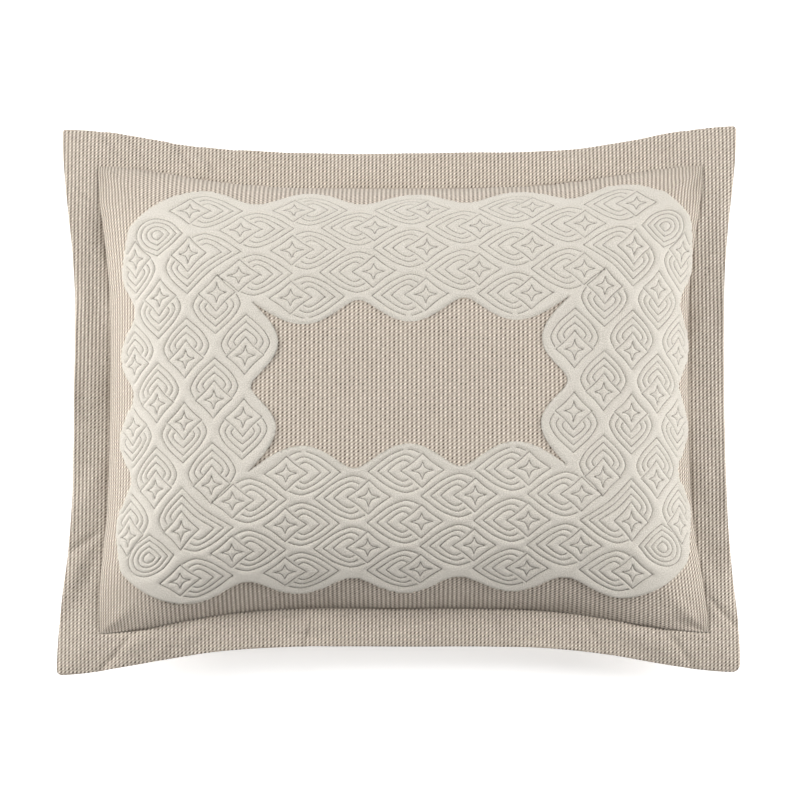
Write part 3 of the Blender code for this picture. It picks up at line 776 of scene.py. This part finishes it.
def arch_lines(stretch):
    lines = []
    for knots in ARCH_KNOTS:
        lobe = through_knots(np.array(knots) * stretch)
        lines += [lobe, lobe * (1, -1)]
    return lines


print("lines in a leaf:", len(star_lines((1, 1)) + arch_lines((1, 1))))

# %% [markdown]
# ## Repeating the leaf
# On the side bands the leaves stand in columns, on the top and bottom bands they lie in rows.
# The rows turn at one place left of the middle, where two leaves meet point to point. Where a
# row and a column end in the same lozenge, its arches run both ways and meet in chevrons, and
# nested loops with two points fill the corner outside it.

# %% Rows and columns of leaves
LEAVES_TURN_U = -0.0700
ROW_COUNTS, COLUMN_COUNTS = (3, 4, 5, 4, 5), (2, 3, 4, 3, 4)
SHARED_ROW, SHARED_COLUMN = 2, 2
CHEVRON_BEND = 0.10
CORNER_LOOP_U, CORNER_LOOP_V = 0.2640, 0.1635
CORNER_LOOP_ROUND = (
    (0.0280, 0.0),
    (0.0150, -0.0130),
    (-0.0030, -0.0180),
    (-0.0190, -0.0120),
    (-0.0250, 0.0010),
    (-0.0170, 0.0140),
    (0.0, 0.0228),
)
CORNER_LOOP_SIDE = ((0.0, 0.0228), (0.0150, 0.0125), (0.0280, 0.0))
CORNER_LOOP_SIZES = (1.0, 0.76, 0.50, 0.26)


def placed(lines, place, direction):
    c, s = {"right": (1, 0), "left": (-1, 0), "up": (0, 1), "down": (0, -1)}[direction]
    turn = np.array(((c, s), (-s, c)))
    return [pulled(line @ turn + place) for line in lines]


def column_leaves():
    leaves = []
    for column, count in enumerate(COLUMN_COUNTS):
        for k in range(count):
            down = k == count - 1 if count % 2 else (k + count // 2) % 2 == 1
            if column == SHARED_COLUMN and k in (0, count - 1):
                continue
            v = (k - (count - 1) / 2) * COLUMN_PITCH_V + (LEAF_MIDDLE if down else -LEAF_MIDDLE)
            u = COLUMN_FIRST_U + column * COLUMN_STEP_U
            leaves += [((side * u, v), "down" if down else "up") for side in (1, -1)]
    return leaves


def row_leaves():
    leaves = []
    middle = LEAF_MIDDLE * FLAT_LEAF_STRETCH[0]
    for row, count in enumerate(ROW_COUNTS):
        for k in range(count):
            centre = (k - (count - 1) / 2) * ROW_PITCH_U
            right = centre < LEAVES_TURN_U
            u = centre - middle if right else centre + middle
            if row == SHARED_ROW and k in (0, count - 1):
                continue
            v = ROW_FIRST_V + row * ROW_STEP_V
            leaves += [((u, side * v), "right" if right else "left") for side in (1, -1)]
    return leaves


def shared_leaf():
    """A lozenge with arches to both sides, in steps towards the middle of the sham."""
    lines = star_lines((1.0, 1.0))
    for knots in ARCH_KNOTS:
        flat = np.array(knots) * FLAT_LEAF_STRETCH
        upright = np.array(knots)[:, ::-1]
        lines += [through_knots(flat * (1, -1)), through_knots(upright * (-1, 1))]
        tips = np.array([flat[-1], upright[-1]])
        lines.append(through_knots([tips[0], tips.mean(axis=0) * (1 - CHEVRON_BEND), tips[1]]))
    return lines


def corner_loops():
    lines = [through_knots(CORNER_LOOP_ROUND), through_knots(CORNER_LOOP_SIDE)]
    return [evenly(line * size) for size in CORNER_LOOP_SIZES for line in lines]


def quilting_lines():
    lines = []
    for place, direction in column_leaves():
        lines += placed(star_lines((1.0, 1.0)) + arch_lines((1.0, 1.0)), place, direction)
    for place, direction in row_leaves():
        motif = star_lines(FLAT_LEAF_STRETCH) + arch_lines(FLAT_LEAF_STRETCH)
        lines += placed(motif, place, direction)
    shared_u = COLUMN_FIRST_U + SHARED_COLUMN * COLUMN_STEP_U
    shared = np.array((shared_u, 1.5 * COLUMN_PITCH_V + LEAF_MIDDLE))
    corner = np.array((CORNER_LOOP_U, CORNER_LOOP_V))
    for side in ((1, 1), (-1, 1), (1, -1), (-1, -1)):
        lines += [pulled((shared - line) * side) for line in shared_leaf()]
        lines += [pulled((corner - line) * side) for line in corner_loops()]
    return lines


all_lines = quilting_lines()
print("quilting lines:", len(all_lines))

# %% [markdown]
# ## Meshing the frame
# A groove is only a millimetre wide, so a plain grid would need millions of faces. Here the
# lines themselves become edges of the mesh, with a row of points on each side for the walls of
# the groove, and a looser grid fills the puffs. A constrained triangulation joins them up, and
# the long slivers that it spans from bulge to bulge outside the frame are dropped.

# %% Keeping to the frame
EDGE_MARGIN = 0.0058
WALL_ROW = 0.00070
PUFF_GRID = 0.0024
LONGEST_SIDE = 0.010
RIM_STEP = 0.0009


def inside(points, loop):
    x, y = points[:, :1], points[:, 1:2]
    a, b = loop, np.roll(loop, -1, axis=0)
    crosses = (a[:, 1] > y) != (b[:, 1] > y)
    slope = (b[:, 0] - a[:, 0]) / np.where(b[:, 1] == a[:, 1], 1e-12, b[:, 1] - a[:, 1])
    return (crosses & (x < a[:, 0] + (y - a[:, 1]) * slope)).sum(axis=1) % 2 == 1


def on_frame(points):
    kept = [inside(part, LOOPS[0]) & ~inside(part, LOOPS[1]) for part in np.array_split(points, 40)]
    return np.concatenate(kept)


def nearest(points, to_points):
    tree = KDTree(len(to_points))
    for k, (x, y) in enumerate(to_points):
        tree.insert((x, y, 0), k)
    tree.balance()
    return np.array([tree.find((x, y, 0))[2] for x, y in points])


def clipped(lines):
    """The stretches of the lines that keep a plain margin to the frame's edges."""
    rim = np.vstack([fine_points([np.vstack([loop, loop[:1]])], RIM_STEP) for loop in LOOPS])
    counts = np.cumsum([len(line) for line in lines])[:-1]
    every = np.vstack(lines)
    held = on_frame(every) & (nearest(every, rim) > EDGE_MARGIN)
    kept = []
    for line, good in zip(np.split(every, counts), np.split(held, counts)):
        runs = np.split(np.arange(len(line)), np.flatnonzero(np.diff(good.astype(int))) + 1)
        kept += [line[run] for run in runs if good[run[0]] and len(run) > 2]
    return kept


def fine_points(lines, step):
    """Points along the lines, a step apart."""
    found = []
    for line in lines:
        for a, b in zip(line[:-1], line[1:]):
            pieces = max(1, math.ceil(np.linalg.norm(b - a) / step))
            found.append(a + (b - a) * np.arange(pieces)[:, None] / pieces)
        found.append(line[-1:])
    return np.vstack(found)


stitched = clipped(all_lines)
line_metres = sum(np.linalg.norm(np.diff(line, axis=0), axis=1).sum() for line in stitched)
print(f"stitched length {line_metres:.1f} m")


# %% Points of the frame's mesh
def wall_rows(lines):
    rows = []
    for line in lines:
        along = np.gradient(line, axis=0)
        along /= np.linalg.norm(along, axis=1, keepdims=True)
        across = np.stack([-along[:, 1], along[:, 0]], axis=1)
        rows += [line + across * WALL_ROW, line - across * WALL_ROW]
    return np.vstack(rows)


def thinned(points, apart):
    """One point for each small cell."""
    cells = np.floor(points / apart).astype(int)
    _, first = np.unique(cells, axis=0, return_index=True)
    return points[np.sort(first)]


def frame_triangles():
    line_points = fine_points(stitched, 0.0003)
    walls = thinned(wall_rows(stitched), 0.0010)
    walls = walls[nearest(walls, line_points) > 0.8 * WALL_ROW]
    reach_u, reach_v = OUTER_NOTCH_U + OUTER_DEPTH_U, OUTER_NOTCH_V + OUTER_DEPTH_V
    across, up = np.arange(-reach_u, reach_u, PUFF_GRID), np.arange(-reach_v, reach_v, PUFF_GRID * 0.87)
    u, v = np.meshgrid(across, up, indexing="ij")
    u = u + PUFF_GRID / 2 * (np.arange(len(up)) % 2)
    puffs = np.stack([u.ravel(), v.ravel()], axis=1) + FRAME_SHIFT
    puffs = puffs[nearest(puffs, line_points) > 1.6 * WALL_ROW]
    loose = np.vstack([walls, puffs])
    rim_points = np.vstack([fine_points([np.vstack([loop, loop[:1]])], RIM_STEP) for loop in LOOPS])
    loose = loose[on_frame(loose) & (nearest(loose, rim_points) > 0.0010)]
    points, edges = [], []
    for loop in LOOPS:
        first = len(points)
        points += loop.tolist()
        edges += [(first + k, first + (k + 1) % len(loop)) for k in range(len(loop))]
    for line in stitched:
        first = len(points)
        points += line.tolist()
        edges += [(first + k, first + k + 1) for k in range(len(line) - 1)]
    points += loose.tolist()
    vectors = [Vector(point) for point in points]
    places, _, triangles, origins, _, _ = delaunay_2d_cdt(vectors, edges, [], 0, 1e-5)
    places = np.array([tuple(place) for place in places])
    triangles = np.array([tuple(triangle) for triangle in triangles])
    triangles = triangles[on_frame(places[triangles].mean(axis=1))]
    sides = places[triangles] - places[np.roll(triangles, 1, axis=1)]
    triangles = triangles[np.linalg.norm(sides, axis=2).max(axis=1) < LONGEST_SIDE]
    new_index = {old: new for new, olds in enumerate(origins) for old in olds}
    rims, first = [], 0
    for loop in LOOPS:
        rims.append([new_index[first + k] for k in range(len(loop))])
        first += len(loop)
    room = nearest(places, line_points)
    edge_room = nearest(places, rim_points)
    return places, triangles, rims, room, edge_room


places, triangles, rims, room, edge_room = frame_triangles()
print("frame mesh:", len(places), "points,", len(triangles), "triangles")

# %% [markdown]
# ## The ivory matelasse
# Matelasse is a double cloth: two layers woven at once and tied together only along the lines,
# so the fields between them puff up. Up close it is a fine plain weave. The groove depth comes
# from the mesh, and a value kept on each point paints shade into the bottom of the groove, in dashes.

# %% Ivory cloth
def ivory_material():
    material = bpy.data.materials.new("ivory_matelasse")
    material.use_nodes = True
    tree = material.node_tree
    shader = tree.nodes["Principled BSDF"]
    spots, x, y = cloth_places(tree)
    warp = calc(tree, "SINE", calc(tree, "MULTIPLY", x, 2 * math.pi / 0.0011))
    weft = calc(tree, "SINE", calc(tree, "MULTIPLY", y, 2 * math.pi / 0.0009))
    grain = calc(tree, "ADD", calc(tree, "MULTIPLY", warp, 0.25), calc(tree, "MULTIPLY", weft, 0.25))
    fluff = mottling(tree, spots, 0.0011, 3.0)
    cloud = mottling(tree, spots, 0.030)
    colour = blend_colours(tree, ramp(tree, fluff, 0.30, 0.70), (0.475, 0.44, 0.38), (0.69, 0.65, 0.585))
    colour = blend_colours(tree, ramp(tree, cloud, 0.3, 0.7, 0.0, 0.25), colour, (0.61, 0.575, 0.515))
    # Painted shade: a near-black colour laid into the bottom of each groove, broken into dashes.
    dashed_groove_shade = tree.nodes.new("ShaderNodeAttribute")
    dashed_groove_shade.attribute_name = "groove_shade"
    colour = blend_colours(tree, dashed_groove_shade.outputs["Fac"], colour, (0.075, 0.062, 0.047))
    tree.links.new(colour, shader.inputs["Base Color"])
    shader.inputs["Roughness"].default_value = 0.90
    shader.inputs["Specular IOR Level"].default_value = 0.25
    shader.inputs["Sheen Weight"].default_value = 0.15
    shader.inputs["Sheen Roughness"].default_value = 0.5
    raised(tree, shader, calc(tree, "ADD", grain, fluff), 0.0004, 0.7)
    return material


ivory_matelasse = ivory_material()
GROOVE_LIFT, WALL_LIFT, PUFF_LIFT, FRAME_CLEAR = 0.0005, 0.0011, 0.0011, 0.0003
WALL_REACH, PUFF_REACH, EDGE_ROLL = 0.0007, 0.0040, 0.0014
EDGE_TUCK = 0.0006
DASH_U, DASH_V = 0.0031, 0.0029


def frame_lift():
    """Height of the ivory cloth over the pocket's face."""
    wall = 1 - np.exp(-((room / WALL_REACH) ** 2))
    puff = 1 - np.exp(-((room / PUFF_REACH) ** 2))
    lift = GROOVE_LIFT + WALL_LIFT * wall + PUFF_LIFT * puff
    edge = np.clip(edge_room / EDGE_ROLL, 0, 1)
    return lift * np.sqrt(np.clip(edge * (2 - edge), 0, 1)) + FRAME_CLEAR


def make_matelasse():
    point, normal = face_frame(places[:, 0], places[:, 1])
    top = point + normal * frame_lift()[:, None]
    rim = [k for loop in rims for k in loop]
    tucked = point[rim] - normal[rim] * EDGE_TUCK
    faces = [tuple(triangle) for triangle in triangles.tolist()]
    first = len(places)
    for loop in rims:
        for k in range(len(loop)):
            after = (k + 1) % len(loop)
            faces.append((loop[k], loop[after], first + after, first + k))
        first += len(loop)
    cloth = np.vstack([places, places[rim]])
    piece = cloth_object("matelasse", np.vstack([top, tucked]), faces, cloth, ivory_matelasse)
    # The painted groove shade: near-black on the line points, broken into dashes along the cloth.
    turns = 2 * np.pi * cloth / (DASH_U, DASH_V)
    dash = 0.5 + 0.5 * np.cos(turns[:, 0]) * np.cos(turns[:, 1])
    groove_shade = np.zeros(len(cloth))
    on_line = room < 0.0002
    groove_shade[: len(places)][on_line] = 0.35 + 0.65 * dash[: len(places)][on_line]
    layer = piece.data.attributes.new("groove_shade", "FLOAT", "POINT")
    layer.data.foreach_set("value", groove_shade.astype(np.float32))
    return piece


matelasse = make_matelasse()
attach(matelasse, "root")
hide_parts("matelasse_frame")
